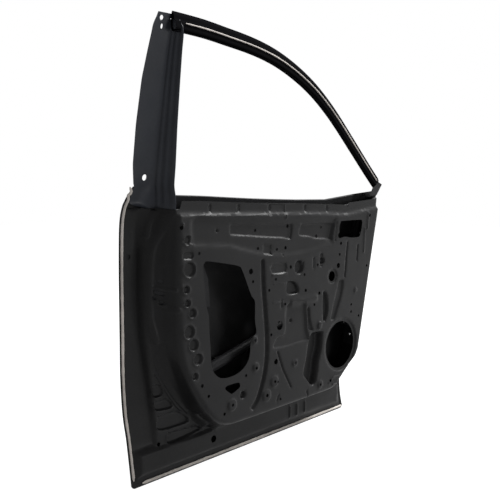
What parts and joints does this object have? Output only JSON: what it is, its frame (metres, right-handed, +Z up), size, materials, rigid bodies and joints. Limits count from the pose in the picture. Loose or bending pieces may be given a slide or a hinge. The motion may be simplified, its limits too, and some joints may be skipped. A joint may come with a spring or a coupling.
{
  "type": "car door shell",
  "caption": "Bare front left car door shell: crowned outer skin hemmed round a deep-drawn inner panel, with a leaning window frame and side impact beam.",
  "frame": {"origin": "Middle of the door's length and depth, level with its bottom hem", "axes": "+X forward to the hinge edge, +Y outboard, +Z up"},
  "size_m": [1.1368, 0.1679, 1.223],
  "materials": {
    "dark_primer": "satin charcoal primer on pressed steel",
    "frame_black": "satin black primer on rolled steel",
    "seam_sealer": "matt brushed sealer",
    "mastic": "matt",
    "nut_steel": "primed steel"
  },
  "bodies": {
    "root": {"beam_front_bracket": "dark_primer", "beam_pad_1": "mastic", "beam_pad_2": "mastic", "beam_pad_3": "mastic", "beam_rear_bracket": "dark_primer", "check_nut_1": "nut_steel", "check_nut_2": "nut_steel", "check_reinforcement": "dark_primer", "corner_bracket": "dark_primer", "front_glass_channel": "dark_primer", "handle_reinforcement": "dark_primer", "header_inner": "frame_black", "header_outer": "frame_black", "header_sealer": "seam_sealer", "hinge_nut_1": "nut_steel", "hinge_nut_2": "nut_steel", "hinge_nut_3": "nut_steel", "hinge_nut_4": "nut_steel", "impact_beam": "dark_primer", "inner_belt_reinforcement": "dark_primer", "inner_panel": "dark_primer", "latch_reinforcement": "dark_primer", "lower_hinge_reinforcement": "dark_primer", "outer_belt_reinforcement": "dark_primer", "outer_skin": "dark_primer", "rear_glass_channel": "dark_primer", "rear_hem_sealer": "seam_sealer", "rear_sash_inner": "frame_black", "rear_sash_outer": "frame_black", "sill_hem_sealer": "seam_sealer", "upper_hinge_reinforcement": "dark_primer"}
  },
  "joints": []
}
